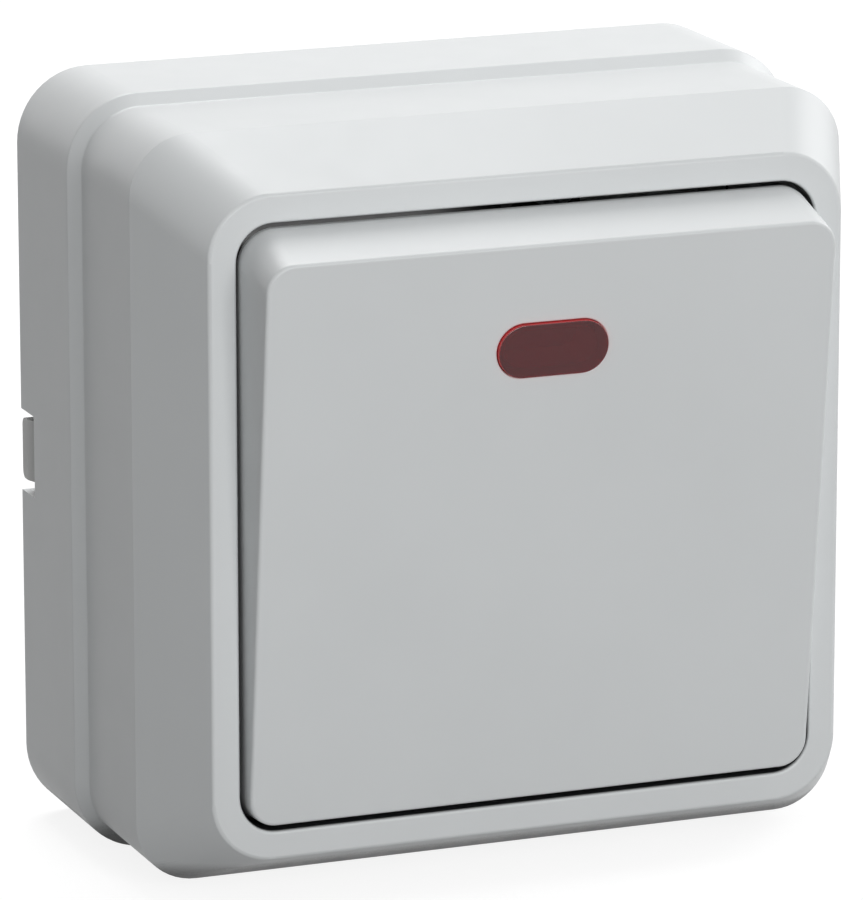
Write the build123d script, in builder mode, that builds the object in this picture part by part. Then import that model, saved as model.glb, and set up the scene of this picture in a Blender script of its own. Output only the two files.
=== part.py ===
from build123d import *
from math import cos, hypot, radians, sin, tan
import os

os.makedirs("parts", exist_ok=True)

# Surface-mounted light switch with a large rocker key and an indicator lens.
# Millimetres. The origin is the middle of the wall face. +Z is up, +Y goes into the wall,
# and a depth is measured from the wall towards the room, so it is -Y.

# Front cover
cover_width = 66.0
box_depth = 13.2
box_corner = 6.3
step_depth = 1.1
step_inset = 0.97
neck_depth = 12.15
neck_corner = 5.3
bezel_depth = 8.7
bezel_inset = 3.79
bezel_corner = 5.4
cover_wall = 1.8
front_ring_width = 2.41
front_ring_thickness = 2.0
opening_corner = 3.2
collar_relief = 0.52
collar_wall = 1.1
collar_length = 6.0
crease_radius = 0.3
front_edge_radius = 0.35

# Pry notch in each side wall of the cover
notch_height = 7.22
notch_depth = 3.45
notch_offset = -0.24

# Thin cable panels behind the top and bottom walls of the cover
cable_panel_width = 16.0
cable_panel_depth = 9.0
cable_panel_skin = 0.7

# Base plate
plate_gap = 0.2
plate_thickness = 2.2
rim_wall = 1.4
rim_height = 3.0
tab_height = 5.4
tab_offset = 0.03
tab_length = 2.9
tab_setback = 0.3
tab_round = 0.7
tab_flat_length = 1.6
tab_fall = 0.5
wall_screw_spacing = 48.0
wall_slot_width = 4.0
wall_slot_length = 8.0
wall_slot_recess = 0.6
wall_slot_margin = 1.6
window_width = 26.0
window_height = 7.0
window_corner = 1.5
window_centre_x = -7.0
window_centre_z = 25.0

# Snap hooks between base plate and cover
hook_spacing = 40.0
hook_width = 6.0
hook_thickness = 1.4
hook_ledge_depth = 6.0
hook_ledge_thickness = 1.2
hook_ledge_height = 0.8
hook_clearance = 0.1
hook_barb = 0.65
hook_barb_length = 2.0

# Rocker key, measured square to its own face
pivot_setback = 4.54
face_height = 7.82
rest_tilt = 5.97
taper_height = 6.0
end_draft = 12.0
side_draft = 3.2
end_gap = 0.1
side_gap = 0.23
rim_land = 0.4
skirt_inset = 1.2
skirt_depth = 9.3
face_corner = 2.35
skirt_corner = 3.1
face_edge_radius = 0.3
key_wall = 1.5
face_thickness = 1.6
key_rib_spacing = 34.0
key_rib_thickness = 1.2
key_rib_height = 2.5
peg_spacing_x = 10.0
peg_end_margin = 3.5
peg_radius = 1.2
peg_length = 1.6
peg_boss_radius = 2.0

# Indicator lens
lens_width = 9.9
lens_height = 4.7
lens_from_end = 9.05
lens_clearance = 0.05
lens_depth = 4.6
lens_proud = 0.3
lens_edge_radius = 0.1
lens_hole_radius = 0.15
lens_front = 1.0
lens_wall = 0.7
lens_flange = 0.8
lens_flange_thickness = 0.7
lens_seat_wall = 1.3

# Swing lever and plunger
lever_width = 19.2
lever_lens_gap = 2.25
lever_corner = 1.5
lever_front = 4.2
lever_thickness = 1.8
cheek_thickness = 2.0
cheek_radius = 3.0
trunnion_radius = 1.5
trunnion_length = 3.6
tube_radius = 3.0
tube_length = 7.6
plunger_radius = 1.9
plunger_reach = 12.0
plunger_head = 5.0
plunger_stem_radius = 0.9
plunger_stem_length = 3.0
running_clearance = 0.05
spring_seat_height = 2.0
spring_wire_radius = 0.2
spring_radius = 1.42
spring_turns = 5

# Contact rocker: a see-saw on a fulcrum blade
arm_tilt = 8.0
arm_half_length = 12.2
arm_width = 6.0
arm_thickness = 1.0
saddle_radius = 3.0
saddle_bottom = 1.57
saddle_top = 2.4
saddle_half_length = 2.6
tip_gap = 0.04
contact_reach = 10.6
contact_radius = 1.5
contact_height = 0.9
contact_edge = 0.5
contact_shank_radius = 0.8
rivet_clearance = 0.01
rivet_tail_radius = 1.2
rivet_tail_height = 0.3
contact_gap = 0.1
fixed_contact_height = 0.62

# Strips and terminals
strip_thickness = 1.2
strip_width = 3.6
blade_width = 5.2
line_foot_width = 4.0
terminal_from_side = 6.0
terminal_from_end = 6.6
line_lead_from_terminal_end = 0.6
terminal_width = 7.0
terminal_length = 7.6
terminal_height = 7.0
terminal_above_floor = 2.0
terminal_clearance = 0.1
wire_bore_radius = 1.6
wire_bore_height = 3.3
wire_slot_width = 4.4
terminal_screw_radius = 1.5
terminal_screw_head_radius = 2.3
terminal_screw_head_height = 2.0
screw_slot_width = 0.6
screw_slot_depth = 0.8

# Mechanism housing
mechanism_corner = 1.5
chamber_width = 10.4
chamber_half_length = 13.0
chamber_corner = 0.8
chamber_below_fulcrum = 6.0
chamber_above_fulcrum = 5.0
stop_inner = 2.4
stop_from = 6.4
stop_to = 8.4
stop_gap = 0.05
flange_x = 12.0
flange_from_end = 3.5
flange_radius = 3.2
flange_back = 7.0
flange_thickness = 2.5
mechanism_screw_radius = 1.45
mechanism_screw_clearance = 0.25
mechanism_screw_head_radius = 2.7
mechanism_screw_head_height = 1.8
mechanism_screw_length = 7.5

# Mechanism cover with the ears that carry the lever
mechanism_cover_thickness = 2.0
tube_window_width = 8.4
tube_window_length = 11.0
driver_hole_radius = 2.6
ear_gap = 0.3
ear_thickness = 3.0
ear_radius = 3.4
clip_width = 6.0
clip_thickness = 1.15
clip_length = 7.0
clip_gap = 0.05
clip_barb = 0.5
clip_barb_length = 1.2
clip_recess_margin = 0.1

# Lamp, its holder, resistor and leads
lamp_radius = 2.0
lamp_length = 9.6
lamp_z = 15.6
lamp_end_radius = 1.0
holder_length = 12.4
holder_thickness = 1.0
holder_rib = 0.9
holder_rib_height = 1.6
holder_gap = 0.1
lead_radius = 0.3
lead_spacing = 1.2
lead_bend = 0.8
lead_hole_radius = 0.5
lead_from_ear = 1.3
lead_from_terminal = 2.4
lead_clearance = 0.1
lead_return_z = 18.2
lead_beside_lamp = 2.2
resistor_radius = 1.2
resistor_length = 6.3
resistor_cap_radius = 1.35
resistor_cap_length = 1.2
resistor_z = 7.8

# Depths of the cover's levels above the wall
neck_at = box_depth + step_depth
bezel_at = neck_at + neck_depth
front_at = bezel_at + bezel_depth

# Widths of the cover's levels
neck_width = cover_width - 2 * step_inset
front_width = neck_width - 2 * bezel_inset
opening_size = front_width - 2 * front_ring_width

# Levels of the mechanism, worked back from the key's pivot
pivot_depth = front_at - pivot_setback
fulcrum_depth = pivot_depth - plunger_reach - tip_gap - saddle_bottom
chamber_floor = fulcrum_depth - chamber_below_fulcrum
mechanism_front = fulcrum_depth + chamber_above_fulcrum
cover_plate_front = mechanism_front + mechanism_cover_thickness
terminal_front = chamber_floor + terminal_above_floor
terminal_back = terminal_front - terminal_height
wire_bore_depth = terminal_back + wire_bore_height
contact_z = contact_reach * cos(radians(arm_tilt)) - contact_height * sin(radians(arm_tilt))
closed_contact_depth = (
    fulcrum_depth
    - contact_reach * sin(radians(arm_tilt))
    - contact_height * cos(radians(arm_tilt))
)
seat_front = closed_contact_depth - contact_gap - fixed_contact_height

# Places across the mechanism, worked outwards from the lever
ear_inner = lever_width / 2 + ear_gap
lead_x = ear_inner - lead_from_ear
terminal_x = lead_x + lead_from_terminal
mechanism_width = 2 * (terminal_x + terminal_from_side)

# Places up the mechanism, worked outwards from the lamp's lead
terminal_z = lamp_z + line_lead_from_terminal_end - terminal_length / 2
mechanism_height = 2 * (terminal_z + terminal_from_end)
flange_z = mechanism_height / 2 + flange_from_end


def tilted(depth, angle):
    """Front-facing plane at a depth, turned about the X axis; its top is proud for a positive angle."""
    slope = radians(angle)
    return Plane(origin=(0, -depth, 0), x_dir=(1, 0, 0), z_dir=(0, -cos(slope), -sin(slope)))


def side_of(frame):
    """Side view of a tilted frame: its first axis leaves the wall, its second goes up."""
    return Plane(origin=frame.origin, x_dir=frame.z_dir, z_dir=(-1, 0, 0))


def front_plane(depth):
    """Plane parallel to the wall, seen from the room."""
    return tilted(depth, 0)


def finish(piece, name):
    """Names a finished piece and writes its file."""
    piece.part.label = name
    export_step(piece.part, f"parts/{name}.step")


key_frame = tilted(pivot_depth, rest_tilt)
key_side = side_of(key_frame)
key_axis = Axis(key_frame.origin, key_frame.z_dir)
arm_frame = tilted(fulcrum_depth, -arm_tilt)
arm_side = side_of(arm_frame)


# Front cover: one moulding with a square box, a slanted step, a neck and a sloping bezel
wall_slant = hypot(bezel_inset, bezel_depth) / bezel_depth
inner_slope_at = bezel_at - cover_wall * (wall_slant - 1) * bezel_depth / bezel_inset
ring_back = front_at - front_ring_thickness
slope_end_width = (
    front_width + 2 * bezel_inset * front_ring_thickness / bezel_depth - 2 * cover_wall * wall_slant
)
box_inside = cover_width - 2 * cover_wall
neck_inside = neck_width - 2 * cover_wall
collar_inside = opening_size + 2 * collar_relief

with BuildPart() as front_cover:
    with BuildSketch(front_plane(0)):
        RectangleRounded(cover_width, cover_width, box_corner)
    extrude(amount=box_depth)
    with BuildSketch(front_plane(box_depth)):
        RectangleRounded(cover_width, cover_width, box_corner)
    with BuildSketch(front_plane(neck_at)):
        RectangleRounded(neck_width, neck_width, neck_corner)
    loft()
    with BuildSketch(front_plane(neck_at)):
        RectangleRounded(neck_width, neck_width, neck_corner)
    extrude(amount=neck_depth)
    with BuildSketch(front_plane(bezel_at)):
        RectangleRounded(neck_width, neck_width, neck_corner)
    with BuildSketch(front_plane(front_at)):
        RectangleRounded(front_width, front_width, bezel_corner)
    loft()
    for level, radius in (
        (box_depth, crease_radius),
        (neck_at, crease_radius),
        (front_at, front_edge_radius),
    ):
        fillet(front_cover.edges().filter_by_position(Axis.Y, -level, -level), radius)

    # Hollow inside, one step for each outside level
    with BuildSketch(front_plane(0)):
        RectangleRounded(box_inside, box_inside, box_corner - cover_wall)
    extrude(amount=box_depth, mode=Mode.SUBTRACT)
    with BuildSketch(front_plane(box_depth)):
        RectangleRounded(neck_inside, neck_inside, neck_corner - cover_wall)
    extrude(amount=inner_slope_at - box_depth, mode=Mode.SUBTRACT)
    with BuildSketch(front_plane(inner_slope_at)):
        RectangleRounded(neck_inside, neck_inside, neck_corner - cover_wall)
    with BuildSketch(front_plane(ring_back)):
        RectangleRounded(slope_end_width, slope_end_width, bezel_corner - cover_wall)
    loft(mode=Mode.SUBTRACT)

    # Collar that hides the gap round the key, set back from the lip
    with BuildSketch(front_plane(ring_back)):
        RectangleRounded(
            collar_inside + 2 * collar_wall,
            collar_inside + 2 * collar_wall,
            opening_corner + collar_relief + collar_wall,
        )
    extrude(amount=-collar_length)
    with BuildSketch(front_plane(ring_back)):
        RectangleRounded(collar_inside, collar_inside, opening_corner + collar_relief)
    extrude(amount=-collar_length, mode=Mode.SUBTRACT)
    with BuildSketch(front_plane(ring_back)):
        RectangleRounded(opening_size, opening_size, opening_corner)
    extrude(amount=front_ring_thickness, mode=Mode.SUBTRACT)
    lip_edges = front_cover.edges().filter_by_position(Axis.Y, -front_at, -front_at)
    fillet(lip_edges, crease_radius)

    # Ledges that the base plate's hooks catch, inside the top and bottom walls
    with BuildSketch(front_plane(hook_ledge_depth)):
        with GridLocations(hook_spacing, box_inside - hook_ledge_height, 2, 2):
            Rectangle(hook_width + 2 * hook_ledge_height, hook_ledge_height)
    extrude(amount=hook_ledge_thickness)

    # Thin panels to break out for a surface cable
    with BuildSketch(front_plane(0)):
        with GridLocations(1, cover_width - cover_wall - cable_panel_skin, 1, 2):
            Rectangle(cable_panel_width, cover_wall - cable_panel_skin)
    extrude(amount=cable_panel_depth, mode=Mode.SUBTRACT)

    # Pry notches in the side walls
    with BuildSketch(front_plane(0)):
        with Locations((0, notch_offset)):
            Rectangle(cover_width, notch_height)
        Rectangle(box_inside, cover_width, mode=Mode.SUBTRACT)
    extrude(amount=notch_depth, mode=Mode.SUBTRACT)
finish(front_cover, "front_cover")


# Base plate: fixed to the wall, carries the mechanism and the cover's hooks
plate_size = box_inside - 2 * plate_gap
plate_corner = box_corner - cover_wall - plate_gap
rim_at = plate_thickness + rim_height
hook_outer = box_inside / 2 - hook_ledge_height - hook_clearance
hook_catch = hook_ledge_depth + hook_ledge_thickness
hook_end = hook_catch + hook_barb_length
tab_root = (plate_size - rim_wall) / 2
tab_outside = cover_width / 2
tab_end = tab_setback + tab_length

with BuildPart() as base_plate:
    with BuildSketch(front_plane(0)):
        RectangleRounded(plate_size, plate_size, plate_corner)
    extrude(amount=plate_thickness)
    with BuildSketch(front_plane(plate_thickness)):
        RectangleRounded(plate_size, plate_size, plate_corner)
        RectangleRounded(
            plate_size - 2 * rim_wall,
            plate_size - 2 * rim_wall,
            plate_corner - rim_wall,
            mode=Mode.SUBTRACT,
        )
    extrude(amount=rim_height)

    # Hooks with their barbs, two at the top and two at the bottom
    for hook_x in (-hook_spacing / 2, hook_spacing / 2):
        with BuildSketch(Plane.YZ.offset(hook_x - hook_width / 2)):
            with BuildLine():
                Polyline(
                    (-plate_thickness, hook_outer - hook_thickness),
                    (-plate_thickness, hook_outer),
                    (-hook_catch, hook_outer),
                    (-hook_catch, hook_outer + hook_barb),
                    (-hook_end, hook_outer),
                    (-hook_end, hook_outer - hook_thickness),
                    close=True,
                )
            make_face()
            mirror(about=Plane.XZ)
        extrude(amount=hook_width)

    # Tabs that fill the cover's side notches, flush at the wall and falling inwards in front
    for side in (-1, 1):
        with BuildSketch(Plane.YZ.offset(side * tab_root)) as tab_outline:
            with Locations((-tab_setback - tab_length / 2, tab_offset)):
                Rectangle(tab_length, tab_height)
            fillet(tab_outline.vertices().group_by(Axis.X)[-1], tab_round)
        extrude(amount=side * (tab_outside - tab_root))
        with BuildSketch(Plane.XY.offset(tab_offset - tab_height / 2)):
            with BuildLine():
                Polyline(
                    (side * tab_outside, tab_flat_length - tab_end),
                    (side * tab_outside, -tab_end),
                    (side * (tab_outside - tab_fall), -tab_end),
                    close=True,
                )
            make_face()
        extrude(amount=tab_height, mode=Mode.SUBTRACT)

    # Bosses for the mechanism's two screws
    with BuildSketch(front_plane(plate_thickness)):
        with Locations((flange_x, flange_z), (-flange_x, -flange_z)):
            Circle(flange_radius)
    extrude(amount=flange_back - plate_thickness)
    with BuildSketch(front_plane(flange_back)):
        with Locations((flange_x, flange_z), (-flange_x, -flange_z)):
            Circle(mechanism_screw_radius + rivet_clearance)
    extrude(amount=-(mechanism_screw_length - flange_thickness), mode=Mode.SUBTRACT)

    # Slots for the wall screws, with a shallow seat round each, and the cable window
    with BuildSketch(front_plane(plate_thickness)):
        with GridLocations(wall_screw_spacing, 1, 2, 1):
            SlotOverall(wall_slot_length + 2 * wall_slot_margin, wall_slot_width + 2 * wall_slot_margin)
    extrude(amount=-wall_slot_recess, mode=Mode.SUBTRACT)
    with BuildSketch(front_plane(0)):
        with GridLocations(wall_screw_spacing, 1, 2, 1):
            SlotOverall(wall_slot_length, wall_slot_width)
        with Locations((window_centre_x, window_centre_z)):
            RectangleRounded(window_width, window_height, window_corner)
    extrude(amount=plate_thickness, mode=Mode.SUBTRACT)
finish(base_plate, "base_plate")


# Rocker key: a shallow cap, drafted on all sides, with pegs for the swing lever
key_back_width = opening_size - 2 * side_gap
key_back_length = opening_size - 2 * end_gap
face_width = key_back_width - 2 * taper_height * tan(radians(side_draft))
face_length = key_back_length - 2 * taper_height * tan(radians(end_draft))
taper_end = face_height - taper_height
rim_end = taper_end - rim_land
skirt_end = face_height - skirt_depth
skirt_width = key_back_width - 2 * skirt_inset
skirt_length = key_back_length - 2 * skirt_inset
skirt_inner_corner = skirt_corner - key_wall
face_underside = face_height - face_thickness
lens_z = face_length / 2 - lens_from_end
seat_end = face_height - lens_depth
lens_seat_width = lens_width + 2 * lens_seat_wall
lens_seat_height = lens_height + 2 * lens_seat_wall
lever_length = 2 * (lens_z - lens_height / 2 - lens_flange - lever_lens_gap)
peg_spacing_z = lever_length - 2 * peg_end_margin

with BuildPart() as rocker_key:
    with BuildSketch(key_frame.offset(taper_end)):
        RectangleRounded(key_back_width, key_back_length, skirt_corner)
    with BuildSketch(key_frame.offset(face_height)):
        RectangleRounded(face_width, face_length, face_corner)
    loft()
    fillet(rocker_key.faces().sort_by(key_axis)[-1].edges(), face_edge_radius)
    with BuildSketch(key_frame.offset(taper_end)):
        RectangleRounded(key_back_width, key_back_length, skirt_corner)
    extrude(amount=-rim_land)
    with BuildSketch(key_frame.offset(rim_end)):
        RectangleRounded(skirt_width, skirt_length, skirt_corner)
    extrude(amount=skirt_end - rim_end)

    # Hollow behind the face
    with BuildSketch(key_frame.offset(skirt_end)):
        RectangleRounded(skirt_width - 2 * key_wall, skirt_length - 2 * key_wall, skirt_inner_corner)
    extrude(amount=taper_end - skirt_end, mode=Mode.SUBTRACT)
    with BuildSketch(key_frame.offset(taper_end)):
        RectangleRounded(skirt_width - 2 * key_wall, skirt_length - 2 * key_wall, skirt_inner_corner)
    with BuildSketch(key_frame.offset(face_underside)):
        RectangleRounded(
            min(skirt_width, face_width) - 2 * key_wall,
            min(skirt_length, face_length) - 2 * key_wall,
            skirt_inner_corner,
        )
    loft(mode=Mode.SUBTRACT)

    # Two stiffening ribs from end to end
    with BuildSketch(key_frame.offset(face_underside)):
        with GridLocations(key_rib_spacing, 1, 2, 1):
            Rectangle(key_rib_thickness, face_length - key_wall)
    extrude(amount=-key_rib_height)

    # Bosses that bear on the lever, and the pegs that enter it
    with BuildSketch(key_frame.offset(lever_front)):
        with GridLocations(peg_spacing_x, peg_spacing_z, 2, 2):
            Circle(peg_boss_radius)
    extrude(amount=face_underside - lever_front)
    with BuildSketch(key_frame.offset(lever_front)):
        with GridLocations(peg_spacing_x, peg_spacing_z, 2, 2):
            Circle(peg_radius)
    extrude(amount=-peg_length)

    # Seat of the lens
    with BuildSketch(key_frame.offset(seat_end)):
        with Locations((0, lens_z)):
            SlotOverall(lens_seat_width, lens_seat_height)
    extrude(amount=face_underside - seat_end)
    with BuildSketch(key_frame.offset(seat_end)):
        with Locations((0, lens_z)):
            SlotOverall(lens_width, lens_height)
    extrude(amount=lens_depth, mode=Mode.SUBTRACT)
    fillet(rocker_key.faces().sort_by(key_axis)[-1].inner_wires()[0].edges(), lens_hole_radius)
finish(rocker_key, "rocker_key")


# Indicator lens: a clear cup pushed in from behind, held by its flange, a little proud of the face
with BuildPart() as indicator_lens:
    with BuildSketch(key_frame.offset(seat_end)):
        with Locations((0, lens_z)):
            SlotOverall(lens_width - 2 * lens_clearance, lens_height - 2 * lens_clearance)
    extrude(amount=lens_depth + lens_proud)
    fillet(indicator_lens.faces().sort_by(key_axis)[-1].edges(), lens_edge_radius)
    with BuildSketch(key_frame.offset(seat_end)):
        with Locations((0, lens_z)):
            SlotOverall(lens_width + 2 * lens_flange, lens_height + 2 * lens_flange)
    extrude(amount=-lens_flange_thickness)
    with BuildSketch(key_frame.offset(seat_end - lens_flange_thickness)):
        with Locations((0, lens_z)):
            SlotOverall(
                lens_width - 2 * (lens_clearance + lens_wall),
                lens_height - 2 * (lens_clearance + lens_wall),
            )
    extrude(
        amount=lens_flange_thickness + lens_depth + lens_proud - lens_front, mode=Mode.SUBTRACT
    )
finish(indicator_lens, "indicator_lens")


# Swing lever: turns in the mechanism's ears and guides the plunger
lever_back = lever_front - lever_thickness

with BuildPart() as swing_lever:
    with BuildSketch(key_frame.offset(lever_back)):
        RectangleRounded(lever_width, lever_length, lever_corner)
        with GridLocations(peg_spacing_x, peg_spacing_z, 2, 2):
            Circle(peg_radius + running_clearance, mode=Mode.SUBTRACT)
    extrude(amount=lever_thickness)
    for side in (-1, 1):
        with BuildSketch(key_side.offset(side * lever_width / 2)):
            Circle(cheek_radius)
            with Locations((lever_back / 2, 0)):
                Rectangle(lever_back, 2 * cheek_radius)
        extrude(amount=-side * cheek_thickness)
        with BuildSketch(key_side.offset(side * lever_width / 2)):
            Circle(trunnion_radius)
        extrude(amount=side * trunnion_length)
    with BuildSketch(key_frame.offset(lever_back)):
        Circle(tube_radius)
    extrude(amount=-(lever_back + tube_length))
    with BuildSketch(key_frame.offset(-tube_length)):
        Circle(plunger_radius + running_clearance)
    extrude(amount=tube_length + spring_seat_height, mode=Mode.SUBTRACT)
finish(swing_lever, "swing_lever")


# Plunger: a pin with a round tip and a stem for the spring
with BuildPart() as plunger:
    with BuildSketch(key_side):
        with BuildLine():
            tip = CenterArc((plunger_radius - plunger_reach, 0), plunger_radius, 90, 90)
            Polyline(
                tip @ 0,
                (-plunger_head, plunger_radius),
                (-plunger_head, plunger_stem_radius),
                (plunger_stem_length - plunger_head, plunger_stem_radius),
                (plunger_stem_length - plunger_head, 0),
                tip @ 1,
            )
        make_face()
    revolve(axis=key_axis)
finish(plunger, "plunger")


# Plunger spring: an open coil between the plunger's shoulder and the lever
spring_start = spring_wire_radius - plunger_head
spring_height = spring_seat_height - spring_wire_radius - spring_start
with BuildPart() as plunger_spring:
    with BuildLine():
        coil = Helix(
            pitch=spring_height / spring_turns,
            height=spring_height,
            radius=spring_radius,
            center=key_frame.from_local_coords((0, 0, spring_start)),
            direction=key_frame.z_dir,
        )
    with BuildSketch(Plane(origin=coil @ 0, z_dir=coil % 0)):
        Circle(spring_wire_radius)
    sweep(path=coil, is_frenet=True)
finish(plunger_spring, "plunger_spring")


# Contact rocker: a brass see-saw with a saddle for the plunger and a groove for the fulcrum
with BuildPart() as contact_rocker:
    with BuildSketch(arm_side):
        with Locations((arm_thickness / 2, 0)):
            Rectangle(arm_thickness, 2 * arm_half_length)
        with Locations((saddle_top / 2, 0)):
            Rectangle(saddle_top, 2 * saddle_half_length)
        with Locations((saddle_bottom + saddle_radius, 0)):
            Circle(saddle_radius, mode=Mode.SUBTRACT)
        Circle(strip_thickness / 2 + running_clearance, mode=Mode.SUBTRACT)
    extrude(amount=arm_width / 2, both=True)
    with BuildSketch(arm_frame):
        with Locations((0, -contact_reach)):
            Circle(contact_shank_radius)
    extrude(amount=arm_thickness, mode=Mode.SUBTRACT)
finish(contact_rocker, "contact_rocker")


# Moving contact: a domed rivet through the lower end of the contact rocker
contact_axis = Axis(arm_frame.from_local_coords((0, -contact_reach, 0)), arm_frame.z_dir)
shank_radius = contact_shank_radius - rivet_clearance
dome_rise = contact_height - contact_edge
dome_radius = (contact_radius**2 + dome_rise**2) / (2 * dome_rise)
with BuildPart() as moving_contact:
    with BuildSketch(arm_side):
        with BuildLine():
            dome = RadiusArc(
                (-contact_height, -contact_reach),
                (-contact_edge, contact_radius - contact_reach),
                dome_radius,
            )
            Polyline(
                dome @ 1,
                (0, contact_radius - contact_reach),
                (0, shank_radius - contact_reach),
                (arm_thickness, shank_radius - contact_reach),
                (arm_thickness, rivet_tail_radius - contact_reach),
                (arm_thickness + rivet_tail_height, rivet_tail_radius - contact_reach),
                (arm_thickness + rivet_tail_height, -contact_reach),
                dome @ 0,
            )
        make_face()
    revolve(axis=contact_axis)
finish(moving_contact, "moving_contact")


# Line strip: the fulcrum blade and its foot, led to the line terminal
tail_from = terminal_width / 2 - terminal_x
with BuildPart() as line_strip:
    with BuildSketch(Plane.YZ):
        with BuildLine():
            crown = CenterArc((-fulcrum_depth, 0), strip_thickness / 2, 90, 180)
            Polyline(
                crown @ 1,
                (-chamber_floor, -strip_thickness / 2),
                (-chamber_floor, contact_z + strip_width / 2),
                (-chamber_floor - strip_thickness, contact_z + strip_width / 2),
                (-chamber_floor - strip_thickness, strip_thickness / 2),
                crown @ 0,
            )
        make_face()
    extrude(amount=line_foot_width / 2, both=True)
    with BuildSketch(front_plane(chamber_floor)):
        with Locations(((tail_from - line_foot_width / 2) / 2, contact_z)):
            Rectangle(-line_foot_width / 2 - tail_from, strip_width)
    extrude(amount=strip_thickness)
    with BuildSketch(front_plane(chamber_floor)):
        Rectangle(blade_width, strip_thickness)
    extrude(amount=fulcrum_depth - chamber_floor)
finish(line_strip, "line_strip")


# Load strip: the seat of the fixed contact, stepped down and led to the load terminal
seat_half = strip_width / 2 + strip_thickness / 2
with BuildPart() as load_strip:
    with BuildSketch(Plane.XY.offset(-contact_z - strip_width / 2)):
        with BuildLine():
            Polyline(
                (-seat_half, -seat_front),
                (seat_half + strip_thickness, -seat_front),
                (seat_half + strip_thickness, -chamber_floor - strip_thickness),
                (-tail_from, -chamber_floor - strip_thickness),
                (-tail_from, -chamber_floor),
                (seat_half, -chamber_floor),
                (seat_half, strip_thickness - seat_front),
                (-seat_half, strip_thickness - seat_front),
                close=True,
            )
        make_face()
    extrude(amount=strip_width)
    with BuildSketch(front_plane(seat_front)):
        with Locations((0, -contact_z)):
            Circle(contact_shank_radius)
    extrude(amount=-strip_thickness, mode=Mode.SUBTRACT)
finish(load_strip, "load_strip")


# Fixed contact: a flat rivet in the load strip's seat
with BuildPart() as fixed_contact:
    with BuildSketch(front_plane(seat_front)):
        with Locations((0, -contact_z)):
            Circle(contact_radius)
    extrude(amount=fixed_contact_height)
    with BuildSketch(front_plane(seat_front)):
        with Locations((0, -contact_z)):
            Circle(shank_radius)
    extrude(amount=-strip_thickness)
    with BuildSketch(front_plane(seat_front - strip_thickness)):
        with Locations((0, -contact_z)):
            Circle(rivet_tail_radius)
    extrude(amount=-rivet_tail_height)
finish(fixed_contact, "fixed_contact")


# Terminals: a brass pillar with a wire bore and a clamping screw, at the top left for the line
# and at the bottom right for the load
for side, name in ((-1, "line_terminal"), (1, "load_terminal")):
    with BuildPart() as terminal:
        with BuildSketch(front_plane(terminal_back)):
            with Locations((side * terminal_x, -side * terminal_z)):
                RectangleRounded(terminal_width, terminal_length, chamber_corner)
        extrude(amount=terminal_height)
        with BuildSketch(Plane.XY.offset(-side * terminal_z - terminal_length / 2)):
            with Locations((side * terminal_x, -wire_bore_depth)):
                Circle(wire_bore_radius)
        extrude(amount=terminal_length, mode=Mode.SUBTRACT)
        with BuildSketch(front_plane(terminal_front)):
            with Locations((side * terminal_x, -side * terminal_z)):
                Circle(terminal_screw_radius + rivet_clearance)
        extrude(amount=wire_bore_depth - terminal_front, mode=Mode.SUBTRACT)
    finish(terminal, name)

with BuildPart() as terminal_screws:
    with BuildSketch(front_plane(wire_bore_depth + wire_bore_radius + terminal_clearance)):
        with Locations((-terminal_x, terminal_z), (terminal_x, -terminal_z)):
            Circle(terminal_screw_radius)
    extrude(amount=terminal_front - wire_bore_depth - wire_bore_radius - terminal_clearance)
    with BuildSketch(front_plane(terminal_front)):
        with Locations((-terminal_x, terminal_z), (terminal_x, -terminal_z)):
            Circle(terminal_screw_head_radius)
    extrude(amount=terminal_screw_head_height)
    with BuildSketch(front_plane(terminal_front + terminal_screw_head_height)):
        with Locations((-terminal_x, terminal_z), (terminal_x, -terminal_z)):
            Rectangle(2 * terminal_screw_head_radius, screw_slot_width)
    extrude(amount=-screw_slot_depth, mode=Mode.SUBTRACT)
finish(terminal_screws, "terminal_screws")


# Mechanism body: the housing of contacts and terminals, screwed to the base plate
body_height = mechanism_front - plate_thickness
pocket_width = terminal_width + 2 * terminal_clearance
pocket_length = terminal_length + 2 * terminal_clearance
channel_length = terminal_x - pocket_width / 2 - chamber_width / 2
channel_x = chamber_width / 2 + channel_length / 2
wire_slot_floor = wire_bore_depth - wire_slot_width / 2
stop_height = chamber_below_fulcrum - stop_to * tan(radians(arm_tilt)) - stop_gap
clip_end = cover_plate_front - mechanism_cover_thickness - clip_length
latch_z = clip_width / 2 + clip_recess_margin

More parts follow.
